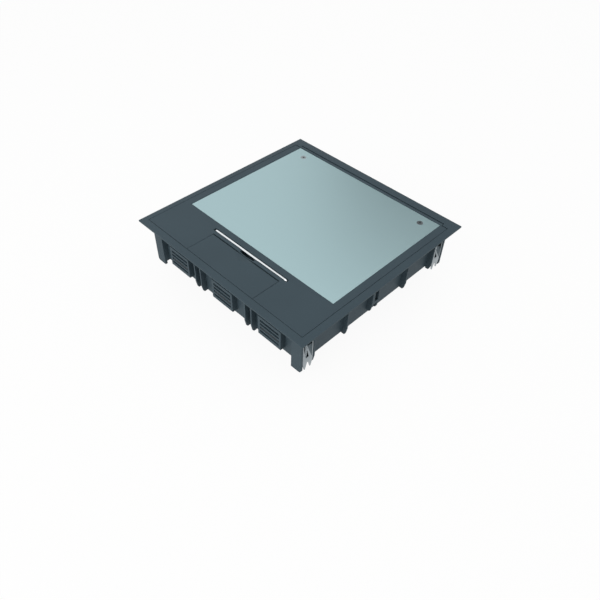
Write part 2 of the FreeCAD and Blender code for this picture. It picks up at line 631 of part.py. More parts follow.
def cord_flap():
    """Flap over the cord outlet: rounded rear edge, two trunnions and ribs below."""
    lip_start = -PAN_HALF + LID_GAP
    solids = [block(-FLAP_HALF, FLAP_HALF, -LID_HALF, FLAP_AXIS_Y, 0, LIP_T),
              block(-FLAP_HALF, FLAP_HALF, lip_start, FLAP_AXIS_Y, 0, LID_SKIN),
              rod(FLAP_R, (-FLAP_HALF, FLAP_AXIS_Y, -FLAP_R), X_AXIS, FLAP_W)]
    reach = FLAP_HALF + TRUNNION_LENGTH
    solids.append(rod(TRUNNION_R, (-reach, FLAP_AXIS_Y, -FLAP_R), X_AXIS, 2 * reach))
    inner = FLAP_OPENING - FLAP_LEDGE - LID_GAP - LID_RIB_T
    for x in (-inner, -inner / 3, inner / 3, inner):
        solids.append(block(x - LID_RIB_T / 2, x + LID_RIB_T / 2, -CAVITY + SKIRT_GAP + SKIRT_T,
                            FLAP_AXIS_Y, LID_SKIN, 2 * FLAP_R))
    return fuse(solids).cut(scoop())


# ---------------------------------------------------------------- corner claws
def claw_screw():
    """Screw of the rear right claw: cheese head in the frame, shank down the bay."""
    base = -CLAW_HEAD_SEAT
    head = rod(CLAW_HEAD_R, (SCREW_U, BAY_MIDDLE, base), Z_AXIS, CLAW_HEAD_T)
    shank = rod(CLAW_SCREW_R, (SCREW_U, BAY_MIDDLE, -CLAW_SCREW_END), Z_AXIS,
                CLAW_SCREW_END + base)
    return fuse([head, shank])


def claw_nut():
    """Square nut that climbs the screw between the claw's cheeks."""
    body = block(WALL + NUT_OUT[0], WALL + NUT_OUT[1], BAY_MIDDLE - NUT_W / 2,
                 BAY_MIDDLE + NUT_W / 2, NUT_TOP, NUT_TOP + NUT_T)
    thread = rod(CLAW_SCREW_R + CLAW_SCREW_PLAY, (SCREW_U, BAY_MIDDLE, -NUT_TOP - NUT_T), Z_AXIS,
                 NUT_T)
    return body.cut(thread)


def claw():
    """Bent steel claw of the rear right corner.

    Two cheeks hang by square lugs. The web between them leans in above the nut as a
    forked ramp, so the rising nut swings the toothed foot out into the floor's edge.
    """
    half = CLAW_W / 2
    nut_face = WALL + NUT_OUT[1] + CLAW_PLAY
    slope = math.tan(math.radians(CLAW_RAMP))
    lean = (NUT_TOP - CLAW_RAMP_TOP) * slope
    tilt = CLAW_T / math.cos(math.radians(CLAW_RAMP))
    web = [(nut_face, -NUT_TOP), (nut_face, -CLAW_PRONG_TOP), (nut_face + CLAW_T, -CLAW_PRONG_TOP),
           (nut_face + CLAW_T, -NUT_TOP), (nut_face + tilt - lean, -CLAW_RAMP_TOP),
           (nut_face - lean, -CLAW_RAMP_TOP)]
    low = BAY_MIDDLE - half
    solids = [prism([(u, low, z) for u, z in web], Y_AXIS, CLAW_W)]
    face = nut_face + CLAW_T
    ear = CLAW_EAR
    cheek = [(PIVOT_U - ear, -PIVOT_DEPTH + ear / 2), (PIVOT_U - ear / 2, -PIVOT_DEPTH + ear),
             (PIVOT_U + ear / 2, -PIVOT_DEPTH + ear), (PIVOT_U + ear, -PIVOT_DEPTH + ear / 2),
             (face, -CLAW_RAMP_TOP), (face, -CLAW_PRONG_TOP), (nut_face, -CLAW_PRONG_TOP),
             (nut_face - lean, -CLAW_RAMP_TOP), (PIVOT_U - ear, -PIVOT_DEPTH - ear)]
    for y0 in (low, BAY_MIDDLE + half - CLAW_T):
        solids.append(prism([(u, y0, z) for u, z in cheek], Y_AXIS, CLAW_T))
    lug = LUG_W / 2
    for y0 in (low - LUG_REACH, BAY_MIDDLE + half - CLAW_T):
        solids.append(block(PIVOT_U - lug, PIVOT_U + lug, y0, y0 + LUG_REACH + CLAW_T,
                            PIVOT_DEPTH - lug, PIVOT_DEPTH + lug))
    # foot with two pointed prongs
    width = (CLAW_W - PRONG_GAP) / 2
    for y0 in (low, BAY_MIDDLE + half - width):
        tip = y0 + width / 2
        prong = [(y0, -CLAW_PRONG_TOP), (y0 + width, -CLAW_PRONG_TOP),
                 (tip + PRONG_POINT / 2, -CLAW_TIP), (tip - PRONG_POINT / 2, -CLAW_TIP)]
        solids.append(prism([(nut_face, y, z) for y, z in prong], X_AXIS, CLAW_T))
    fork = 2 * (CLAW_SCREW_R + CLAW_PLAY)
    slot = block(WALL - THROUGH, LOCATE + THROUGH, BAY_MIDDLE - fork / 2, BAY_MIDDLE + fork / 2,
                 CLAW_RAMP_TOP - 2 * THROUGH, NUT_TOP - FORK_END)
    return fuse(solids).cut(slot)


# ---------------------------------------------------------------- carriers and cups
def carrier(x):
    """Tray that hooks into the front and rear racks and holds a row of devices."""
    half = CARRIER_W / 2
    end = CAVITY - CARRIER_GAP
    solids = [block(x - half, x + half, -end, end, DECK_TOP, DECK_DEPTH)]
    rim_top = DECK_TOP - RIM_HEIGHT
    for side in (-1, 1):
        x0, x1 = sorted((x + side * half, x + side * (half - RIM_T)))
        solids.append(block(x0, x1, -end, end, rim_top, DECK_TOP))
    latch_out = LOCATE - RACK_T - LATCH_GAP
    tooth_low = RACK_FIRST + RACK_LATCH * RACK_PITCH + RACK_SLOT_H / 2
    latch = [block(x - LATCH_W / 2, x + LATCH_W / 2, end, latch_out, DECK_TOP, DECK_DEPTH),
             block(x - LATCH_W / 2, x + LATCH_W / 2, latch_out - LATCH_T, latch_out,
                   LATCH_TOP, DECK_TOP),
             prism([(x - LATCH_W / 2, latch_out, -tooth_low),
                    (x - LATCH_W / 2, LOCATE - TOOTH_GAP, -tooth_low),
                    (x - LATCH_W / 2, LOCATE - TOOTH_GAP, -tooth_low + TOOTH_H / 2),
                    (x - LATCH_W / 2, latch_out, -tooth_low + TOOTH_H)], X_AXIS, LATCH_W)]
    solids += latch + [mirrored_y(s) for s in latch]
    window = BODY_W / 2 + BODY_GAP
    cuts = [block(x - window, x + window, y - window, y + window, DECK_TOP - THROUGH,
                  DECK_DEPTH + THROUGH) for y in DEVICE_Y]
    return fuse(solids).cut(cuts)


def wiring_cup(x):
    """Cup below a carrier, with two cable entries over a saddle shelf at its rear."""
    half = CUP_W / 2
    end = CUP_LENGTH / 2
    outer = block(x - half, x + half, -end, end, DECK_DEPTH, HEIGHT)
    outer = outer.makeChamfer(CUP_CHAMFER, upright_edges(outer))
    inner = block(x - half + CUP_WALL, x + half - CUP_WALL, -end + CUP_WALL, end - CUP_WALL,
                  DECK_DEPTH - THROUGH, HEIGHT - CUP_WALL)
    shelf = block(x - CLAMP_W / 2, x + CLAMP_W / 2, end - CUP_WALL, end + CLAMP_T,
                  HEIGHT - CLAMP_SHELF, HEIGHT)
    entries = [rod(ENTRY_R, (x + side * ENTRY_X, end - CUP_WALL - THROUGH, -ENTRY_DEPTH), Y_AXIS,
                   CLAMP_T + CUP_WALL + 2 * THROUGH) for side in (-1, 1)]
    thread = rod(CLAMP_SCREW_R, (x, CLAMP_Y, CLAMP_SCREW_FLOOR - HEIGHT), Z_AXIS, CLAMP_SHELF)
    return fuse([outer, shelf]).cut([inner, thread] + entries)


def clamp_bars():
    """Bars on the cups' shelves, each with two saddles in line with the cable entries."""
    bars = []
    end = CUP_LENGTH / 2
    low = HEIGHT - CLAMP_SHELF
    for x in CARRIER_X:
        bar = block(x - CLAMP_W / 2, x + CLAMP_W / 2, end + SEAT_GAP, end + CLAMP_T,
                    low - CLAMP_H, low)
        saddles = [rod(ENTRY_R + SADDLE_GAP, (x + side * ENTRY_X, end, -ENTRY_DEPTH), Y_AXIS,
                       CLAMP_T) for side in (-1, 1)]
        bars.append(bar.cut(saddles + [rod(CLAMP_SCREW_R, (x, CLAMP_Y, -low), Z_AXIS, CLAMP_H)]))
    return bars


def clamp_screws():
    """One hexagon-headed screw through the middle of each bar."""
    screws = []
    foot = CLAMP_SCREW_FLOOR - HEIGHT
    head_low = CLAMP_SHELF + CLAMP_H - HEIGHT
    for x in CARRIER_X:
        shank = rod(CLAMP_SCREW_R, (x, CLAMP_Y, foot), Z_AXIS, head_low - foot)
        turns = [math.radians(60 * i) for i in range(6)]
        head = prism([(x + CLAMP_HEAD_R * math.cos(a), CLAMP_Y + CLAMP_HEAD_R * math.sin(a),
                       head_low) for a in turns], Z_AXIS, CLAMP_HEAD_T)
        screws.append(fuse([shank, head]))
    return screws


# ---------------------------------------------------------------- devices
def device_shell(x, y, depth):
    """Square face on the deck with a body through the carrier's window."""
    face = block(x - MODULE / 2, x + MODULE / 2, y - MODULE / 2, y + MODULE / 2,
                 FACE_TOP, DECK_TOP)
    body = block(x - BODY_W / 2, x + BODY_W / 2, y - BODY_W / 2, y + BODY_W / 2,
                 DECK_TOP, FACE_TOP + depth)
    return fuse([face, body])


def power_socket(x, y):
    """Round-recess mains socket with side guides, two pin holes and earth slots."""
    floor = FACE_TOP + RECESS_DEPTH
    recess = rod(RECESS_R, (x, y, -floor), Z_AXIS, RECESS_DEPTH)
    width, reach = GUIDE_NIB
    nibs = [block(x + RECESS_R - reach, x + RECESS_R + reach, y - width / 2, y + width / 2,
                  FACE_TOP, floor),
            block(x - RECESS_R - reach, x - RECESS_R + reach, y - width / 2, y + width / 2,
                  FACE_TOP, floor)]
    cuts = [recess.cut(nibs)]
    for side in (-1, 1):
        cuts.append(rod(PIN_HOLE_R, (x + side * PIN_HOLE_X, y, -floor - PIN_HOLE_DEPTH), Z_AXIS,
                        PIN_HOLE_DEPTH))
    return device_shell(x, y, SOCKET_DEPTH).cut(cuts)


def earth_clips(x, y):
    """Pair of bowed earth contacts on the walls of a socket's recess."""
    floor = FACE_TOP + RECESS_DEPTH
    chord = math.sqrt(RECESS_R ** 2 - (EARTH_W / 2) ** 2)
    clips = []
    for side in (-1, 1):
        wall = chord * side
        foot = Vector(x - EARTH_W / 2, y + wall, -floor)
        middle = Vector(x - EARTH_W / 2, y + wall - side * EARTH_BOW, -floor + RECESS_DEPTH / 2)
        top = Vector(x - EARTH_W / 2, y + wall, -floor + RECESS_DEPTH - EARTH_TOP)
        back = Vector(0, -side * EARTH_T, 0)
        edges = [Part.Arc(foot, middle, top).toShape(),
                 Part.LineSegment(top, top + back).toShape(),
                 Part.Arc(top + back, middle + back, foot + back).toShape(),
                 Part.LineSegment(foot + back, foot).toShape()]
        clips.append(Part.Face(Part.Wire(edges)).extrude(X_AXIS * EARTH_W))
    return clips


def data_outlet(x, y):
    """Carrier plate for two data jacks."""
    cuts = []
    for side in (-1, 1):
        jx = x + side * JACK_X
        half_w = JACK_W / 2 + JACK_GAP
        half_h = JACK_H / 2 + JACK_GAP
        cuts.append(block(jx - half_w, jx + half_w, y - half_h, y + half_h,
                          FACE_TOP - THROUGH, FACE_TOP + DATA_DEPTH + THROUGH))
    return device_shell(x, y, DATA_DEPTH).cut(cuts)


def data_jacks(x, y):
    """Two eight-way jacks with a latch notch in front of each port."""
    jacks = []
    for side in (-1, 1):
        jx = x + side * JACK_X
        bottom = FACE_TOP + DATA_DEPTH - JACK_SHORT
        body = block(jx - JACK_W / 2, jx + JACK_W / 2, y - JACK_H / 2, y + JACK_H / 2,
                     FACE_TOP + JACK_SINK, bottom)
        port = block(jx - PORT_W / 2, jx + PORT_W / 2, y - PORT_H / 2, y + PORT_H / 2,
                     FACE_TOP, FACE_TOP + PORT_DEPTH)
        width, reach = PORT_LATCH
        latch = block(jx - width / 2, jx + width / 2, y - PORT_H / 2 - reach, y,
                      FACE_TOP, FACE_TOP + PORT_DEPTH)
        jacks.append(body.cut([port, latch]))
    return jacks


def blank_cover(x, y):
    """Blank face with a hollow snap-in collar."""
    inner = BODY_W / 2 - BLANK_WALL
    hollow = block(x - inner, x + inner, y - inner, y + inner, DECK_TOP,
                   FACE_TOP + BLANK_DEPTH + THROUGH)
    return device_shell(x, y, BLANK_DEPTH).cut(hollow)


# ---------------------------------------------------------------- build
def build():
    os.makedirs("parts", exist_ok=True)
    export("frame", frame())
    export("hinge_pins", hinge_pins())
    export("lid", lid())
    export("lid_plate", lid_plate())
    export("plate_screws", plate_screws())
    export("handle_bow", handle_bow())
    export("handle_clips", handle_clips())
    export("cord_flap", cord_flap())
    for name, (sx, sy) in CORNERS.items():
        export(f"claw_screw_{name}", to_corner(claw_screw(), sx, sy))
        export(f"claw_nut_{name}", to_corner(claw_nut(), sx, sy))
        export(f"claw_{name}", to_corner(claw(), sx, sy))
    for name, x in zip(CARRIER_NAMES, CARRIER_X):
        export(f"carrier_{name}", carrier(x))
        export(f"wiring_cup_{name}", wiring_cup(x))
    export("clamp_bars", clamp_bars())
    export("clamp_screws", clamp_screws())
    for i, y in enumerate(DEVICE_Y, start=1):
        export(f"power_socket_{i}", power_socket(CARRIER_X[0], y))
        export(f"earth_clips_{i}", earth_clips(CARRIER_X[0], y))
        if i <= 2:
            export(f"data_outlet_{i}", data_outlet(CARRIER_X[1], y))
            export(f"data_jacks_{i}", data_jacks(CARRIER_X[1], y))
        else:
            export(f"blank_cover_{i - 2}", blank_cover(CARRIER_X[1], y))
        export(f"blank_cover_{i + 2}", blank_cover(CARRIER_X[2], y))


build()
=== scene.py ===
"""Looks and studio for a square in-floor socket box.

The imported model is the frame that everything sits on. The operators soften the moulded
edges, cut the screws' recesses and wind their threads, bend the pull-up wire, fit the
contacts that show inside the devices, finish every surface and set up a plain studio.
"""
import json
import math

import bmesh
import bpy
from bpy.props import FloatProperty, FloatVectorProperty, IntProperty, PointerProperty
from mathutils import Matrix, Vector


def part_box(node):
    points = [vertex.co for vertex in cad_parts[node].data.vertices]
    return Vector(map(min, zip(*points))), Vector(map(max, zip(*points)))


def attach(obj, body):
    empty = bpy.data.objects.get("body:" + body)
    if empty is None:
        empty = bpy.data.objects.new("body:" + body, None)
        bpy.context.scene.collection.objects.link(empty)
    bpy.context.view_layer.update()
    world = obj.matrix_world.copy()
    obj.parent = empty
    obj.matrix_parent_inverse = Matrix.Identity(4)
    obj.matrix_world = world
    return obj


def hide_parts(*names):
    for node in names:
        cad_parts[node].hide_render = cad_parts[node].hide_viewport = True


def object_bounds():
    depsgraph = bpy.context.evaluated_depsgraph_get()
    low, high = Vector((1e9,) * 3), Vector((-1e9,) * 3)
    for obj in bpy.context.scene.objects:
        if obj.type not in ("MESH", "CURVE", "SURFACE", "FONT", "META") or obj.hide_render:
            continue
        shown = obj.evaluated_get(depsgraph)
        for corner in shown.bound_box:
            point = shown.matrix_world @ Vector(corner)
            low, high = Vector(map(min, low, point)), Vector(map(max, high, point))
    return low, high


bl_info = {
    "name": "Floor Socket Box",
    "version": (1, 0, 0),
    "blender": (4, 5, 0),
    "location": "3D View > Sidebar > Floor Box",
    "description": "Finishes a square in-floor socket box and sets up its studio",
    "category": "Object",
}

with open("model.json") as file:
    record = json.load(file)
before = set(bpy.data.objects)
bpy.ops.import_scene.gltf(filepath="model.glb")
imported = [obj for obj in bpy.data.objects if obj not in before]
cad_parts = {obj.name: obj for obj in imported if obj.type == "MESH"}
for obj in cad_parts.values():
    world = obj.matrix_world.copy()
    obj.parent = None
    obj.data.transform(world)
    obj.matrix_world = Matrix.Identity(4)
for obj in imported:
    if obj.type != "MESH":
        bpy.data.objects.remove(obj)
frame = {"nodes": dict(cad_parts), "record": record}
NODES = frame["nodes"]
CAD_BOX = [list(corner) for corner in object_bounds()]
CENTRE = sum((Vector(corner) for corner in CAD_BOX), Vector()) / 2
BODY_OF = {node: body for body, members in frame["record"]["behaviour"]["bodies"].items()
           for node in members}
CORNERS = ("front_left", "front_right", "rear_left", "rear_right")
MM = 0.001
WELD = 0.002 * MM  # corners this close are one corner
SLIVER = 0.001 * MM  # edges this short are left out
BEVEL_FROM = math.radians(35)  # edges that turn more than this get a radius
SHARP_FROM = math.radians(50)  # edges that turn more than this stay sharp to the eye


# ---------------------------------------------------------------- colour and nodes
def linear(code):
    """An sRGB hex colour as linear red, green, blue and alpha."""
    channels = [int(code[i:i + 2], 16) / 255 for i in (1, 3, 5)]
    return tuple(c / 12.92 if c <= 0.04045 else ((c + 0.055) / 1.055) ** 2.4
                 for c in channels) + (1.0,)


def shaded(colour, factor):
    """A linear colour made lighter or darker."""
    return tuple(min(c * factor, 1.0) for c in colour[:3]) + (1.0,)


def add(tree, kind, values=None, links=None, **settings):
    """Add a node, set its options and socket values, and link its inputs."""
    node = tree.nodes.new(kind)
    for name, value in settings.items():
        setattr(node, name, value)
    for socket, value in (values or {}).items():
        node.inputs[socket].default_value = value
    for socket, source in (links or {}).items():
        tree.links.new(source, node.inputs[socket])
    return node


# ---------------------------------------------------------------- settings
class FloorBoxSizes(bpy.types.PropertyGroup):
    """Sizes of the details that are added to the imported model."""

    soft_edge: FloatProperty(
        name="Moulded Edge", description="Radius on the edges of moulded parts",
        default=0.2 * MM, min=0.05 * MM, max=1 * MM, unit="LENGTH", precision=5)
    plate_edge: FloatProperty(
        name="Plate Edge", description="Radius on the stamped edges of the steel parts",
        default=0.15 * MM, min=0.02 * MM, max=0.5 * MM, unit="LENGTH", precision=5)
    wire_bend: FloatProperty(
        name="Wire Bend", description="Centreline radius of the pull-up wire's bends",
        default=2.0 * MM, min=1.6 * MM, max=6 * MM, unit="LENGTH", precision=5)
    thread_pitch: FloatProperty(
        name="Thread Pitch", description="Rise of the claw screws' thread per turn",
        default=0.6 * MM, min=0.3 * MM, max=2 * MM, unit="LENGTH", precision=5)
    thread_depth: FloatProperty(
        name="Thread Depth", description="Crest to root of the claw screws' thread",
        default=0.32 * MM, min=0.1 * MM, max=1 * MM, unit="LENGTH", precision=5)
    recess_width: FloatProperty(
        name="Recess Width", description="Across the cross recess of a screw head",
        default=3.6 * MM, min=1 * MM, max=6 * MM, unit="LENGTH", precision=5)
    recess_wing: FloatProperty(
        name="Recess Wing", description="Thickness of a wing of the cross recess",
        default=0.9 * MM, min=0.2 * MM, max=2 * MM, unit="LENGTH", precision=5)
    recess_depth: FloatProperty(
        name="Recess Depth", description="Depth of the cross recess of a screw head",
        default=1.3 * MM, min=0.2 * MM, max=3 * MM, unit="LENGTH", precision=5)
    pin_spacing: FloatProperty(
        name="Pin Spacing", description="Between the two pin holes of a socket",
        default=19 * MM, min=10 * MM, max=30 * MM, unit="LENGTH", precision=5)
    sleeve: FloatProperty(
        name="Pin Sleeve", description="Outer radius of the contact sleeves in the pin holes",
        default=2.5 * MM, min=1 * MM, max=4 * MM, unit="LENGTH", precision=5)
    contact_pitch: FloatProperty(
        name="Contact Pitch", description="Spacing of the contact springs in a data jack",
        default=1.02 * MM, min=0.5 * MM, max=2 * MM, unit="LENGTH", precision=5)
    contact_count: IntProperty(
        name="Contacts", description="Contact springs in a data jack", default=8, min=1, max=12)
    grain: FloatProperty(
        name="Mould Grain", description="Size of the eroded texture on moulded parts",
        default=0.8 * MM, min=0.1 * MM, max=3 * MM, unit="LENGTH", precision=5)
    brush_line: FloatProperty(
        name="Brush Line", description="Width of the grinding lines on the steel inlay",
        default=0.5 * MM, min=0.05 * MM, max=3 * MM, unit="LENGTH", precision=5)


class FloorBoxColours(bpy.types.PropertyGroup):
    """Colours of the finishes."""

    frame: FloatVectorProperty(
        name="Frame and Lid", description="Moulded frame, lid and cord flap",
        default=linear("#3b4a52")[:3], size=3, min=0, max=1, subtype="COLOR")
    inlay: FloatVectorProperty(
        name="Steel Inlay", description="Satin steel plate in the lid",
        default=linear("#a6c0c4")[:3], size=3, min=0, max=1, subtype="COLOR")
    wire: FloatVectorProperty(
        name="Pull-up Wire", description="Nickel-plated wire of the handle",
        default=linear("#eef2f4")[:3], size=3, min=0, max=1, subtype="COLOR")
    zinc: FloatVectorProperty(
        name="Zinc", description="Zinc-plated claws, nuts, screws and clips",
        default=linear("#959da1")[:3], size=3, min=0, max=1, subtype="COLOR")
    carrier: FloatVectorProperty(
        name="Carriers", description="Device carriers", default=linear("#33383c")[:3],
        size=3, min=0, max=1, subtype="COLOR")
    cup: FloatVectorProperty(
        name="Cups and Blanks", description="Wiring cups, clamp bars and blank covers",
        default=linear("#26292c")[:3], size=3, min=0, max=1, subtype="COLOR")
    device: FloatVectorProperty(
        name="Devices", description="Faces of the sockets and data outlets",
        default=linear("#eceae4")[:3], size=3, min=0, max=1, subtype="COLOR")
    contact: FloatVectorProperty(
        name="Contacts", description="Earth clips, pin sleeves and jack springs",
        default=linear("#c9a765")[:3], size=3, min=0, max=1, subtype="COLOR")
    jack: FloatVectorProperty(
        name="Jacks", description="Bodies of the data jacks", default=linear("#1d1e20")[:3],
        size=3, min=0, max=1, subtype="COLOR")
    floor: FloatVectorProperty(
        name="Floor", description="Studio floor", default=linear("#f4f4f2")[:3],
        size=3, min=0, max=1, subtype="COLOR")


class FloorBoxStudio(bpy.types.PropertyGroup):
    """Camera and light."""

    aim: FloatVectorProperty(
        name="Aim", description="Point that the camera looks at",
        default=(87.3 * MM, -90.0 * MM, 75 * MM), size=3, subtype="TRANSLATION", unit="LENGTH")
    distance: FloatProperty(
        name="Distance", description="Camera to that point", default=593.8 * MM, min=0.1,
        unit="LENGTH")
    azimuth: FloatProperty(
        name="Azimuth", description="Camera round the box, from the front to the right",
        default=math.radians(43.115), subtype="ANGLE", unit="ROTATION")
    elevation: FloatProperty(
        name="Elevation", description="Camera above the horizon",
        default=math.radians(45.547), subtype="ANGLE", unit="ROTATION")
    roll: FloatProperty(
        name="Roll", description="Turn of the camera about its view",
        default=math.radians(2.297), subtype="ANGLE", unit="ROTATION")
    lens: FloatProperty(
        name="Lens", description="Focal length", default=35.45, min=10, max=200,
        subtype="DISTANCE_CAMERA")
    ambient: FloatProperty(
        name="Ambient", description="Even light from all round", default=0.6, min=0, max=2)
    overhead: FloatProperty(
        name="Overhead", description="Power of the soft light above the box", default=5.0,
        min=0, subtype="POWER", unit="POWER")
    front: FloatProperty(
        name="Front", description="Power of the soft light in front of the box", default=12.0,
        min=0, subtype="POWER", unit="POWER")
    card: FloatProperty(
        name="Card", description="Brightness of the grey card that the steel reflects",
        default=0.25, min=0, max=1)


# ---------------------------------------------------------------- finishes
def finish_base(name):
    """A new material, its tree, its Principled shader and its object coordinates."""
    material = bpy.data.materials.new(name)
    material.use_nodes = True
    tree = material.node_tree
    shader = tree.nodes["Principled BSDF"]
    place = add(tree, "ShaderNodeTexCoord").outputs["Object"]
    return material, tree, shader, place


def moulded(name, colour, roughness, bump, gloss=0.5):
    """Injection-moulded thermoplastic from a spark-eroded tool.

    The eroded tool leaves a fine even grain, which breaks up the gloss, and the melt
    leaves a barely darker cloud here and there.
    """
    sizes = bpy.context.scene.floor_box_sizes
    cloud_size = 60 * MM
    grain_height = 0.02 * MM
    gloss_spread = 0.05
    material, tree, shader, place = finish_base(name)
    grain = add(tree, "ShaderNodeTexNoise",
                {"Scale": 1 / sizes.grain, "Detail": 2.0, "Roughness": 0.6}, {"Vector": place})
    cloud = add(tree, "ShaderNodeTexNoise", {"Scale": 1 / cloud_size, "Detail": 1.0},
                {"Vector": place})
    tone = add(tree, "ShaderNodeMapRange",
               {"From Min": 0.3, "From Max": 0.7, "To Min": 0.0, "To Max": 1.0},
               {"Value": cloud.outputs["Fac"]})
    body = add(tree, "ShaderNodeMix",
               {"A": shaded(colour, 0.96), "B": shaded(colour, 1.04)},
               {"Factor": tone.outputs["Result"]}, data_type="RGBA")
    speck = add(tree, "ShaderNodeMix", {"Factor": 0.06},
                {"A": body.outputs["Result"], "B": grain.outputs["Color"]},
                data_type="RGBA", blend_type="OVERLAY")
    sheen = add(tree, "ShaderNodeMapRange",
                {"From Min": 0.3, "From Max": 0.7, "To Min": roughness - gloss_spread,
                 "To Max": roughness + gloss_spread}, {"Value": grain.outputs["Fac"]})
    relief = add(tree, "ShaderNodeBump", {"Strength": bump, "Distance": grain_height},
                 {"Height": grain.outputs["Fac"]})
    tree.links.new(speck.outputs["Result"], shader.inputs["Base Color"])
    tree.links.new(sheen.outputs["Result"], shader.inputs["Roughness"])
    tree.links.new(relief.outputs["Normal"], shader.inputs["Normal"])
    shader.inputs["IOR"].default_value = 1.53
    shader.inputs["Specular IOR Level"].default_value = gloss
    return material


def satin_stainless(name, colour):
    """Stainless sheet ground with a fine belt.

    The belt leaves parallel hairlines, far finer than can show, so they are drawn as
    wide as the line size and only tint the gloss.
    """
    sizes = bpy.context.scene.floor_box_sizes
    squeeze = 0.012  # along X, which draws each line out to about 80 times its width
    line_height = 0.005 * MM
    material, tree, shader, place = finish_base(name)
    along = add(tree, "ShaderNodeMapping", {"Scale": (squeeze, 1.0, 1.0)}, {"Vector": place})
    hairline = add(tree, "ShaderNodeTexNoise",
                   {"Scale": 1 / sizes.brush_line, "Detail": 3.0, "Roughness": 0.7},
                   {"Vector": along.outputs["Vector"]})
    tone = add(tree, "ShaderNodeMapRange",
               {"From Min": 0.25, "From Max": 0.75, "To Min": 0.0, "To Max": 1.0},
               {"Value": hairline.outputs["Fac"]})
    body = add(tree, "ShaderNodeMix", {"A": shaded(colour, 0.985), "B": shaded(colour, 1.015)},
               {"Factor": tone.outputs["Result"]}, data_type="RGBA")
    gloss = add(tree, "ShaderNodeMapRange",
                {"From Min": 0.25, "From Max": 0.75, "To Min": 0.36, "To Max": 0.42},
                {"Value": hairline.outputs["Fac"]})
    relief = add(tree, "ShaderNodeBump", {"Strength": 0.05, "Distance": line_height},
                 {"Height": hairline.outputs["Fac"]})
    tree.links.new(body.outputs["Result"], shader.inputs["Base Color"])
    tree.links.new(gloss.outputs["Result"], shader.inputs["Roughness"])
    tree.links.new(relief.outputs["Normal"], shader.inputs["Normal"])
    shader.inputs["Metallic"].default_value = 1.0
    return material


def plated(name, colour, roughness, patch_size):
    """Electroplated metal: bright nickel, zinc or tin over wire, sheet or strip.

    The bath leaves soft patches of brighter and duller plating.
    """
    gloss_spread = 0.06
    material, tree, shader, place = finish_base(name)
    patch = add(tree, "ShaderNodeTexNoise", {"Scale": 1 / patch_size, "Detail": 3.0},
                {"Vector": place})
    body = add(tree, "ShaderNodeMix", {"A": shaded(colour, 0.88), "B": shaded(colour, 1.06)},
               {"Factor": patch.outputs["Fac"]}, data_type="RGBA")
    gloss = add(tree, "ShaderNodeMapRange",
                {"From Min": 0.3, "From Max": 0.7, "To Min": roughness - gloss_spread,
                 "To Max": roughness + gloss_spread}, {"Value": patch.outputs["Fac"]})
    tree.links.new(body.outputs["Result"], shader.inputs["Base Color"])
    tree.links.new(gloss.outputs["Result"], shader.inputs["Roughness"])
    shader.inputs["Metallic"].default_value = 1.0
    return material


# Each slot's material name, maker, colour and settings.
FINISHES = {
    # matt slate polyamide off a coarse tool, which scatters most of its gloss
    "frame_plastic": ("moulded_polyamide", moulded, "frame",
                      {"roughness": 0.6, "bump": 0.35, "gloss": 0.2}),
    # belt-ground stainless sheet, a broad soft reflection
    "satin_steel": ("satin_stainless", satin_stainless, "inlay", {}),
    # nickel-plated spring wire, a sharp bright line
    "bright_wire": ("nickel_wire", plated, "wire", {"roughness": 0.16, "patch_size": 12 * MM}),
    # zinc-plated and passivated steel, silvery and slightly patchy
    "zinc_steel": ("zinc_plated_steel", plated, "zinc",
                   {"roughness": 0.2, "patch_size": 4 * MM}),
    # glass-filled polyamide, dull
    "carrier_plastic": ("glass_filled_polyamide", moulded, "carrier",
                        {"roughness": 0.6, "bump": 0.5, "gloss": 0.3}),
    # polypropylene, waxy
    "cup_plastic": ("moulded_polypropylene", moulded, "cup", {"roughness": 0.45, "bump": 0.2}),
    # polished polycarbonate, glossy white
    "device_white": ("polycarbonate_white", moulded, "device",
                     {"roughness": 0.24, "bump": 0.04}),
    # tinned or gilt spring bronze
    "contact_brass": ("spring_bronze", plated, "contact",
                      {"roughness": 0.28, "patch_size": 3 * MM}),
    # black polycarbonate
    "jack_black": ("polycarbonate_black", moulded, "jack", {"roughness": 0.35, "bump": 0.1}),
}


def finish(slot):
    """The material of a slot, made when it is first asked for."""
    name, maker, colour, settings = FINISHES[slot]
    colours = bpy.context.scene.floor_box_colours
    return bpy.data.materials.get(name) or maker(name, getattr(colours, colour), **settings)


# ---------------------------------------------------------------- making pieces
def put_finish(piece, slot):
    """Give a piece one finish."""
    piece.data.materials.clear()
    piece.data.materials.append(finish(slot))
    for face in piece.data.polygons:
        face.material_index = 0


def new_piece(name, mesh):
    """An object in the scene that holds a mesh."""
    piece = bpy.data.objects.new(name, mesh)
    bpy.context.scene.collection.objects.link(piece)
    return piece


def applied(piece):
    """Turn a piece's modifiers into its plain mesh."""
    depsgraph = bpy.context.evaluated_depsgraph_get()
    depsgraph.update()
    mesh = bpy.data.meshes.new_from_object(piece.evaluated_get(depsgraph))
    piece.modifiers.clear()
    piece.data = mesh


def smoothed(piece):
    """Shade a piece smooth across its shallow edges."""
    piece.data.shade_smooth()
    piece.data.set_sharp_from_angle(angle=SHARP_FROM)


def merged(node):
    """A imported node's mesh with its loose triangles joined along their edges."""
    mesh = NODES[node].data.copy()
    for name in ("custom_normal", "sharp_face", "sharp_edge"):
        layer = mesh.attributes.get(name)
        if layer:
            mesh.attributes.remove(layer)
    shape = bmesh.new()
    shape.from_mesh(mesh)
    bmesh.ops.remove_doubles(shape, verts=shape.verts, dist=WELD)
    bmesh.ops.dissolve_degenerate(shape, edges=shape.edges, dist=SLIVER)
    shape.to_mesh(mesh)
    shape.free()
    return mesh


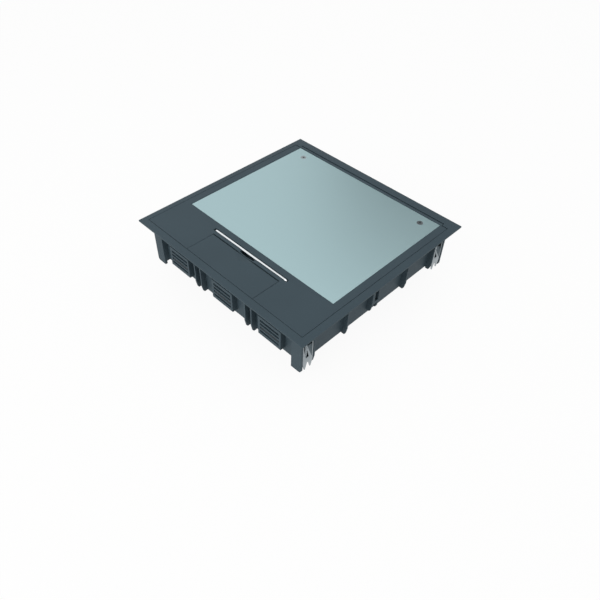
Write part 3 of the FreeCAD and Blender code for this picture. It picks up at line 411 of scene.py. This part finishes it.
def softened(node, slot, radius):
    """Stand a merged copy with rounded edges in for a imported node."""
    piece = new_piece(f"{node}_finished", merged(node))
    bevel = piece.modifiers.new("edges", "BEVEL")
    bevel.width = radius
    bevel.segments = 2
    bevel.limit_method = "ANGLE"
    bevel.angle_limit = BEVEL_FROM
    bevel.miter_outer = "MITER_ARC"
    bevel.use_clamp_overlap = False
    applied(piece)
    dressed(piece, node, slot)


def dressed(piece, node, slot):
    """Shade a piece flat on its flats and round on its edges, and finish it for a node."""
    smoothed(piece)
    flats = piece.modifiers.new("flats", "WEIGHTED_NORMAL")
    flats.weight = 100
    flats.keep_sharp = True
    applied(piece)
    put_finish(piece, slot)
    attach(piece, BODY_OF[node])
    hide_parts(node)


def refinished(node, slot):
    """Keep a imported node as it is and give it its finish."""
    NODES[node].data.materials.clear()
    NODES[node].data.materials.append(finish(slot))


def with_tree(piece, tree, **inputs):
    """Run a node tree on a piece with named inputs, and keep the result as its mesh."""
    modifier = piece.modifiers.new(tree.name, "NODES")
    modifier.node_group = tree
    for item in tree.interface.items_tree:
        if item.item_type == "SOCKET" and item.in_out == "INPUT" and item.name in inputs:
            modifier[item.identifier] = inputs[item.name]
    applied(piece)


def new_tree(name, **inputs):
    """A geometry node tree with its inputs, and its first node."""
    tree = bpy.data.node_groups.new(name, "GeometryNodeTree")
    tree.interface.new_socket("Geometry", in_out="INPUT", socket_type="NodeSocketGeometry")
    for key, kind in inputs.items():
        tree.interface.new_socket(key, in_out="INPUT", socket_type=kind)
    tree.interface.new_socket("Geometry", in_out="OUTPUT", socket_type="NodeSocketGeometry")
    first = add(tree, "NodeGroupInput")
    return tree, first


def close_tree(tree, first, geometry):
    """End a tree in real geometry with its finish."""
    real = add(tree, "GeometryNodeRealizeInstances", links={"Geometry": geometry})
    painted = add(tree, "GeometryNodeSetMaterial",
                  links={"Geometry": real.outputs["Geometry"],
                         "Material": first.outputs["Finish"]})
    add(tree, "NodeGroupOutput", links={"Geometry": painted.outputs["Geometry"]})
    return tree


def wire_tree():
    """Round wire with filleted bends along the polyline that the piece holds."""
    tree, first = new_tree("bent_wire", Radius="NodeSocketFloat", Bend="NodeSocketFloat",
                           Finish="NodeSocketMaterial")
    line = add(tree, "GeometryNodeMeshToCurve", links={"Mesh": first.outputs["Geometry"]})
    bent = add(tree, "GeometryNodeFilletCurve", {"Count": 10},
               {"Curve": line.outputs["Curve"], "Radius": first.outputs["Bend"]}, mode="POLY")
    ring = add(tree, "GeometryNodeCurvePrimitiveCircle", {"Resolution": 24},
               {"Radius": first.outputs["Radius"]})
    wire = add(tree, "GeometryNodeCurveToMesh", {"Fill Caps": True},
               {"Curve": bent.outputs["Curve"], "Profile Curve": ring.outputs["Curve"]})
    return close_tree(tree, first, wire.outputs["Mesh"])


def thread_tree():
    """A helical thread ridge, upright from the origin."""
    tree, first = new_tree("screw_thread", Radius="NodeSocketFloat", Length="NodeSocketFloat",
                           Turns="NodeSocketFloat", Depth="NodeSocketFloat",
                           Place="NodeSocketVector", Finish="NodeSocketMaterial")
    helix = add(tree, "GeometryNodeCurveSpiral", {"Resolution": 20},
                {"Rotations": first.outputs["Turns"], "Start Radius": first.outputs["Radius"],
                 "End Radius": first.outputs["Radius"], "Height": first.outputs["Length"]})
    ridge = add(tree, "GeometryNodeCurvePrimitiveCircle", {"Resolution": 4},
                {"Radius": first.outputs["Depth"]})
    thread = add(tree, "GeometryNodeCurveToMesh", {"Fill Caps": True},
                 {"Curve": helix.outputs["Curve"], "Profile Curve": ridge.outputs["Curve"]})
    moved = add(tree, "GeometryNodeTransform", links={"Geometry": thread.outputs["Mesh"],
                                                      "Translation": first.outputs["Place"]})
    both = add(tree, "GeometryNodeJoinGeometry")
    tree.links.new(first.outputs["Geometry"], both.inputs["Geometry"])
    tree.links.new(moved.outputs["Geometry"], both.inputs["Geometry"])
    return close_tree(tree, first, both.outputs["Geometry"])


def recess_tree():
    """Cut a cross recess into the piece at each of the points of another object."""
    tree, first = new_tree("cross_recess", Width="NodeSocketFloat", Wing="NodeSocketFloat",
                           Depth="NodeSocketFloat", Places="NodeSocketObject",
                           Finish="NodeSocketMaterial")
    double = add(tree, "ShaderNodeMath", {1: 2.0}, {0: first.outputs["Depth"]},
                 operation="MULTIPLY")
    wings = add(tree, "GeometryNodeJoinGeometry")
    for turned in (False, True):
        pair = ("Wing", "Width") if turned else ("Width", "Wing")
        size = add(tree, "ShaderNodeCombineXYZ",
                   links={"X": first.outputs[pair[0]], "Y": first.outputs[pair[1]],
                          "Z": double.outputs["Value"]})
        wing = add(tree, "GeometryNodeMeshCube", links={"Size": size.outputs["Vector"]})
        tree.links.new(wing.outputs["Mesh"], wings.inputs["Geometry"])
    places = add(tree, "GeometryNodeObjectInfo", links={"Object": first.outputs["Places"]})
    crosses = add(tree, "GeometryNodeInstanceOnPoints",
                  links={"Points": places.outputs["Geometry"],
                         "Instance": wings.outputs["Geometry"]})
    cutters = add(tree, "GeometryNodeRealizeInstances",
                  links={"Geometry": crosses.outputs["Instances"]})
    cut = add(tree, "GeometryNodeMeshBoolean", {"Self Intersection": True},
              {"Mesh 1": first.outputs["Geometry"], "Mesh 2": cutters.outputs["Geometry"]},
              operation="DIFFERENCE", solver="EXACT")
    return close_tree(tree, first, cut.outputs["Mesh"])


def row_tree():
    """Copies of the piece in a row along X at each of the points of another object."""
    tree, first = new_tree("contact_rows", Count="NodeSocketInt", Pitch="NodeSocketFloat",
                           Places="NodeSocketObject", Finish="NodeSocketMaterial")
    step = add(tree, "ShaderNodeCombineXYZ", links={"X": first.outputs["Pitch"]})
    row = add(tree, "GeometryNodeMeshLine", links={"Count": first.outputs["Count"],
                                                   "Offset": step.outputs["Vector"]})
    rows = add(tree, "GeometryNodeInstanceOnPoints",
               links={"Points": row.outputs["Mesh"], "Instance": first.outputs["Geometry"]})
    places = add(tree, "GeometryNodeObjectInfo", links={"Object": first.outputs["Places"]})
    spread = add(tree, "GeometryNodeInstanceOnPoints",
                 links={"Points": places.outputs["Geometry"],
                        "Instance": rows.outputs["Instances"]})
    return close_tree(tree, first, spread.outputs["Instances"])


def points(name, places):
    """An object that only holds points."""
    mesh = bpy.data.meshes.new(name)
    mesh.from_pydata(places, [], [])
    return new_piece(name, mesh)


def recessed(piece, heads):
    """Cut a cross recess into each screw head of a piece, given the heads' tops."""
    sizes = bpy.context.scene.floor_box_sizes
    holder = points("recess_places", heads)
    with_tree(piece, recess_tree(), Width=sizes.recess_width, Wing=sizes.recess_wing,
              Depth=sizes.recess_depth, Places=holder, Finish=finish("zinc_steel"))
    bpy.data.objects.remove(holder)


def islands(mesh):
    """Middles, in plan, of a mesh's separate solids, with the top of each."""
    shape = bmesh.new()
    shape.from_mesh(mesh)
    left = set(shape.verts)
    found = []
    while left:
        group = [left.pop()]
        for vertex in group:  # the group grows while this walks along it
            for edge in vertex.link_edges:
                other = edge.other_vert(vertex)
                if other in left:
                    left.remove(other)
                    group.append(other)
        low, high = ([pick(v.co[axis] for v in group) for axis in range(3)]
                     for pick in (min, max))
        found.append(((low[0] + high[0]) / 2, (low[1] + high[1]) / 2, high[2]))
    shape.free()
    return sorted(found)


# ---------------------------------------------------------------- operators
class FLOORBOX_OT_housing(bpy.types.Operator):
    """Soften and finish the moulded frame"""

    bl_idname = "floorbox.housing"
    bl_label = "Moulded Frame"

    def execute(self, context):
        softened("frame", "frame_plastic", context.scene.floor_box_sizes.soft_edge)
        refinished("hinge_pins", "zinc_steel")
        return {"FINISHED"}


class FLOORBOX_OT_lid(bpy.types.Operator):
    """Soften and finish the lid and its cord flap"""

    bl_idname = "floorbox.lid"
    bl_label = "Lid and Cord Flap"

    def execute(self, context):
        radius = context.scene.floor_box_sizes.soft_edge
        softened("lid", "frame_plastic", radius)
        softened("cord_flap", "frame_plastic", radius)
        return {"FINISHED"}


class FLOORBOX_OT_inlay(bpy.types.Operator):
    """Finish the steel inlay and its countersunk screws"""

    bl_idname = "floorbox.inlay"
    bl_label = "Steel Inlay"

    def execute(self, context):
        sizes = context.scene.floor_box_sizes
        softened("lid_plate", "satin_steel", sizes.plate_edge)
        screws = new_piece("plate_screws_recessed", merged("plate_screws"))
        recessed(screws, islands(screws.data))
        dressed(screws, "plate_screws", "zinc_steel")
        return {"FINISHED"}


class FLOORBOX_OT_handle(bpy.types.Operator):
    """Bend the pull-up wire and finish it with its clips"""

    bl_idname = "floorbox.handle"
    bl_label = "Pull-up Wire"

    def execute(self, context):
        low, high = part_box("handle_bow")
        radius = (high.y - low.y) / 2
        across = high.x - radius
        middle = (high.y + low.y) / 2
        level = high.z - radius
        path = [(-across, middle, low.z), (-across, middle, level), (across, middle, level),
                (across, middle, low.z)]
        mesh = bpy.data.meshes.new("pull_up_wire")
        mesh.from_pydata(path, [(i, i + 1) for i in range(len(path) - 1)], [])
        wire = new_piece("pull_up_wire", mesh)
        with_tree(wire, wire_tree(), Radius=radius, Finish=finish("bright_wire"),
                  Bend=context.scene.floor_box_sizes.wire_bend)
        smoothed(wire)
        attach(wire, BODY_OF["handle_bow"])
        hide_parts("handle_bow")
        refinished("handle_clips", "zinc_steel")
        return {"FINISHED"}


class FLOORBOX_OT_claws(bpy.types.Operator):
    """Thread the claw screws and finish the corner claws"""

    bl_idname = "floorbox.claws"
    bl_label = "Corner Claws"

    def execute(self, context):
        tree = thread_tree()
        radius = context.scene.floor_box_sizes.plate_edge
        for corner in CORNERS:
            self.screw(context, tree, f"claw_screw_{corner}")
            softened(f"claw_{corner}", "zinc_steel", radius)
            softened(f"claw_nut_{corner}", "zinc_steel", radius)
        return {"FINISHED"}

    def screw(self, context, tree, node):
        """Neck a screw's shank down to the thread's root and wind the thread on it."""
        sizes = context.scene.floor_box_sizes
        tip_length = 1 * MM
        head_height = 1.6 * MM
        rounding = 1.02  # a shank corner lies no further out than this share of the crest
        low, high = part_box(node)
        axis = (low + high) / 2
        mesh = merged(node)
        crest = min((v.co - Vector((axis.x, axis.y, v.co.z))).length for v in mesh.vertices
                    if v.co.z < low.z + tip_length)
        root = crest - sizes.thread_depth
        shank = [v for v in mesh.vertices
                 if (v.co - Vector((axis.x, axis.y, v.co.z))).length < crest * rounding
                 and v.co.z < high.z - head_height]
        neck = max(v.co.z for v in shank)
        for vertex in shank:
            spoke = Vector((vertex.co.x - axis.x, vertex.co.y - axis.y, 0))
            vertex.co -= spoke * (1 - root / crest)
        screw = new_piece(f"{node}_threaded", mesh)
        recessed(screw, [(axis.x, axis.y, high.z)])
        length = neck - low.z - 2 * sizes.thread_pitch
        with_tree(screw, tree, Radius=root, Length=length, Turns=length / sizes.thread_pitch,
                  Depth=sizes.thread_depth, Finish=finish("zinc_steel"),
                  Place=(axis.x, axis.y, low.z + sizes.thread_pitch))
        dressed(screw, node, "zinc_steel")


class FLOORBOX_OT_carriers(bpy.types.Operator):
    """Finish the device carriers, wiring cups and cable clamps"""

    bl_idname = "floorbox.carriers"
    bl_label = "Carriers and Cups"

    def execute(self, context):
        radius = context.scene.floor_box_sizes.soft_edge
        for place in ("left", "centre", "right"):
            softened(f"carrier_{place}", "carrier_plastic", radius)
            softened(f"wiring_cup_{place}", "cup_plastic", radius)
        refinished("clamp_bars", "cup_plastic")
        refinished("clamp_screws", "zinc_steel")
        return {"FINISHED"}


class FLOORBOX_OT_devices(bpy.types.Operator):
    """Finish the sockets, data outlets and blank covers, and fit their contacts"""

    bl_idname = "floorbox.devices"
    bl_label = "Devices"

    def execute(self, context):
        radius = context.scene.floor_box_sizes.soft_edge
        for node in sorted(NODES):
            if node.startswith(("power_socket", "data_outlet")):
                softened(node, "device_white", radius)
            elif node.startswith("blank_cover"):
                softened(node, "cup_plastic", radius)
            elif node.startswith("data_jacks"):
                softened(node, "jack_black", radius / 2)
            elif node.startswith("earth_clips"):
                refinished(node, "contact_brass")
        self.springs(context)
        self.sleeves(context)
        return {"FINISHED"}

    def sleeves(self, context):
        """A round contact sleeve at the foot of each pin hole of the sockets."""
        sizes = context.scene.floor_box_sizes
        foot = 3.7 * MM
        height = 1.6 * MM
        inner = sizes.sleeve - 0.4 * MM
        sides = 24
        starts = []
        for node in sorted(n for n in NODES if n.startswith("power_socket")):
            low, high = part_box(node)
            middle = (low + high) / 2
            starts += [(middle.x + side * sizes.pin_spacing / 2, middle.y, low.z + foot)
                       for side in (-1, 1)]
        holder = points("sleeve_places", starts)
        turns = [math.tau * i / sides for i in range(sides)]
        section = [(sizes.sleeve, 0), (sizes.sleeve, height), (inner, height), (inner, 0)]
        corners = [(r * math.cos(turn), r * math.sin(turn), z) for r, z in section
                   for turn in turns]
        faces = [(ring * sides + i, ring * sides + (i + 1) % sides,
                  (ring + 1) % 4 * sides + (i + 1) % sides, (ring + 1) % 4 * sides + i)
                 for ring in range(4) for i in range(sides)]
        mesh = bpy.data.meshes.new("pin_sleeves")
        mesh.from_pydata(corners, [], faces)
        sleeves = new_piece("pin_sleeves", mesh)
        with_tree(sleeves, row_tree(), Count=1, Pitch=0.0, Places=holder,
                  Finish=finish("contact_brass"))
        bpy.data.objects.remove(holder)
        smoothed(sleeves)
        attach(sleeves, BODY_OF["power_socket_1"])

    def springs(self, context):
        """Bent contact springs in a row in each data jack."""
        sizes = context.scene.floor_box_sizes
        rise = 5.0 * MM
        reach = 3.2 * MM
        thick = 0.35 * MM
        bend_out = reach * 0.2
        bend_up = rise * 0.35
        jack_gap = 6 * MM
        behind_middle = 3.3 * MM
        below_face = 12 * MM
        starts = []
        for node in sorted(n for n in NODES if n.startswith("data_jacks")):
            low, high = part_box(node)
            width = (high.x - low.x - jack_gap) / 2
            row = (sizes.contact_count - 1) * sizes.contact_pitch
            for centre in (low.x + width / 2, high.x - width / 2):
                starts.append((centre - row / 2, (low.y + high.y) / 2 + behind_middle,
                               high.z - below_face))
        holder = points("jack_places", starts)
        shape = bmesh.new()
        profile = [(0, 0), (-bend_out, bend_up), (-reach, rise), (-reach, rise + thick),
                   (-bend_out + thick, bend_up), (thick, 0)]
        for x in (-thick / 2, thick / 2):
            shape.faces.new([shape.verts.new((x, y, z)) for y, z in profile])
        bmesh.ops.bridge_loops(shape, edges=shape.edges)
        bmesh.ops.recalc_face_normals(shape, faces=shape.faces)
        mesh = bpy.data.meshes.new("jack_springs")
        shape.to_mesh(mesh)
        shape.free()
        springs = new_piece("jack_springs", mesh)
        with_tree(springs, row_tree(), Count=sizes.contact_count, Pitch=sizes.contact_pitch,
                  Places=holder, Finish=finish("contact_brass"))
        bpy.data.objects.remove(holder)
        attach(springs, BODY_OF["data_jacks_1"])


class FLOORBOX_OT_stage(bpy.types.Operator):
    """Set up the floor, the soft light and the camera"""

    bl_idname = "floorbox.stage"
    bl_label = "Stage"

    def execute(self, context):
        studio = context.scene.floor_box_studio
        self.floor(context)
        self.sky(context, studio.ambient)
        self.softbox("overhead", studio.overhead, place=(0.25, 0.1, 1.5), size=1.6)
        self.softbox("front", studio.front, place=(0.1, -1.6, 0.9), size=1.4)
        self.card(studio.card)
        self.camera(context, studio)
        context.scene.view_settings.view_transform = "Standard"
        return {"FINISHED"}

    def floor(self, context):
        """Pale floor that stays white in the picture but keeps part of the shadow."""
        half = 6.0
        level = CAD_BOX[0][2]
        speck_size = 4 * MM
        whiteness = 0.93  # the rest of what the eye sees is the lit surface, with its shadow
        mesh = bpy.data.meshes.new("studio_floor")
        mesh.from_pydata([(-half, -half, level), (half, -half, level), (half, half, level),
                          (-half, half, level)], [], [(0, 1, 2, 3)])
        floor = new_piece("studio_floor", mesh)
        material, tree, shader, place = finish_base("pale_floor")
        colour = context.scene.floor_box_colours.floor
        speck = add(tree, "ShaderNodeTexNoise", {"Scale": 1 / speck_size}, {"Vector": place})
        tone = add(tree, "ShaderNodeMix", {"A": shaded(colour, 0.995), "B": shaded(colour, 1.0)},
                   {"Factor": speck.outputs["Fac"]}, data_type="RGBA")
        tree.links.new(tone.outputs["Result"], shader.inputs["Base Color"])
        shader.inputs["Roughness"].default_value = 0.9
        white = add(tree, "ShaderNodeEmission", {"Strength": 1.0})
        rays = add(tree, "ShaderNodeLightPath")
        seen = add(tree, "ShaderNodeMath", links={0: rays.outputs["Is Camera Ray"],
                                                  1: rays.outputs["Is Glossy Ray"]},
                   operation="MAXIMUM")
        share = add(tree, "ShaderNodeMath", {1: whiteness}, {0: seen.outputs["Value"]},
                    operation="MULTIPLY")
        mixed = add(tree, "ShaderNodeMixShader",
                    links={0: share.outputs["Value"], 1: shader.outputs["BSDF"],
                           2: white.outputs["Emission"]})
        tree.links.new(mixed.outputs["Shader"], tree.nodes["Material Output"].inputs["Surface"])
        mesh.materials.append(material)

    def sky(self, context, ambient):
        """White surroundings for the eye and for reflections, dimmer as a light."""
        world = bpy.data.worlds.new("studio")
        world.use_nodes = True
        tree = world.node_tree
        rays = add(tree, "ShaderNodeLightPath")
        seen = add(tree, "ShaderNodeMath", links={0: rays.outputs["Is Camera Ray"],
                                                  1: rays.outputs["Is Transmission Ray"]},
                   operation="MAXIMUM")
        shown = add(tree, "ShaderNodeMath", links={0: seen.outputs["Value"],
                                                   1: rays.outputs["Is Glossy Ray"]},
                    operation="MAXIMUM")
        level = add(tree, "ShaderNodeMapRange", {"To Min": ambient, "To Max": 1.0},
                    {"Value": shown.outputs["Value"]})
        tree.links.new(level.outputs["Result"], tree.nodes["Background"].inputs["Strength"])
        tree.nodes["Background"].inputs["Color"].default_value = (1, 1, 1, 1)
        context.scene.world = world

    def softbox(self, name, power, place, size):
        """A square soft light that faces the box."""
        light = bpy.data.lights.new(name, "AREA")
        light.energy = power
        light.shape = "SQUARE"
        light.size = size
        lamp = bpy.data.objects.new(name, light)
        lamp.location = place
        away = Vector(place) - CENTRE
        lamp.rotation_euler = away.to_track_quat("Z", "Y").to_euler()
        bpy.context.scene.collection.objects.link(lamp)

    def card(self, level):
        """Grey card behind the box, which only the steel shows, as a darker end."""
        far = 1.6
        low, high = 0.25, 1.35
        near_side, far_side = (math.radians(angle) for angle in (128, 70))
        corners = [(far * math.cos(angle), far * math.sin(angle), z)
                   for angle in (near_side, far_side) for z in (low, high)]
        mesh = bpy.data.meshes.new("grey_card")
        mesh.from_pydata(corners, [], [(0, 1, 3, 2)])
        card = new_piece("grey_card", mesh)
        material = bpy.data.materials.new("grey_card")
        material.use_nodes = True
        tree = material.node_tree
        glow = add(tree, "ShaderNodeEmission", {"Color": (level, level, level, 1)})
        tree.links.new(glow.outputs["Emission"], tree.nodes["Material Output"].inputs["Surface"])
        mesh.materials.append(material)
        for kind in ("camera", "diffuse", "transmission", "volume_scatter", "shadow"):
            setattr(card, f"visible_{kind}", False)

    def camera(self, context, studio):
        """The camera, from its distance and angles about the point that it looks at."""
        data = bpy.data.cameras.new("camera")
        data.lens = studio.lens
        data.sensor_width = 36.0
        data.clip_start = 0.01
        camera = bpy.data.objects.new("camera", data)
        turn = (Matrix.Rotation(studio.azimuth, 4, "Z")
                @ Matrix.Rotation(math.pi / 2 - studio.elevation, 4, "X")
                @ Matrix.Rotation(studio.roll, 4, "Z"))
        back = turn @ Vector((0, 0, studio.distance))
        camera.matrix_world = Matrix.Translation(Vector(studio.aim) + back) @ turn
        context.scene.collection.objects.link(camera)
        context.scene.camera = camera


class FLOORBOX_PT_panel(bpy.types.Panel):
    """Settings and steps of the floor socket box"""

    bl_idname = "FLOORBOX_PT_panel"
    bl_label = "Floor Socket Box"
    bl_space_type = "VIEW_3D"
    bl_region_type = "UI"
    bl_category = "Floor Box"

    def draw(self, context):
        scene = context.scene
        for group in (scene.floor_box_sizes, scene.floor_box_colours, scene.floor_box_studio):
            column = self.layout.column(align=True)
            for name in group.__annotations__:
                column.prop(group, name)
        for step in STEPS:
            self.layout.operator(step.bl_idname)


STEPS = (FLOORBOX_OT_housing, FLOORBOX_OT_lid, FLOORBOX_OT_inlay, FLOORBOX_OT_handle,
         FLOORBOX_OT_claws, FLOORBOX_OT_carriers, FLOORBOX_OT_devices, FLOORBOX_OT_stage)
GROUPS = (FloorBoxSizes, FloorBoxColours, FloorBoxStudio)


def register():
    for item in GROUPS + STEPS + (FLOORBOX_PT_panel,):
        bpy.utils.register_class(item)
    bpy.types.Scene.floor_box_sizes = PointerProperty(type=FloorBoxSizes)
    bpy.types.Scene.floor_box_colours = PointerProperty(type=FloorBoxColours)
    bpy.types.Scene.floor_box_studio = PointerProperty(type=FloorBoxStudio)


def unregister():
    del bpy.types.Scene.floor_box_studio
    del bpy.types.Scene.floor_box_colours
    del bpy.types.Scene.floor_box_sizes
    for item in reversed(GROUPS + STEPS + (FLOORBOX_PT_panel,)):
        bpy.utils.unregister_class(item)


def main():
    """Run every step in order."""
    register()
    bpy.ops.floorbox.housing()
    bpy.ops.floorbox.lid()
    bpy.ops.floorbox.inlay()
    bpy.ops.floorbox.handle()
    bpy.ops.floorbox.claws()
    bpy.ops.floorbox.carriers()
    bpy.ops.floorbox.devices()
    bpy.ops.floorbox.stage()


if __name__ == "__main__":
    main()
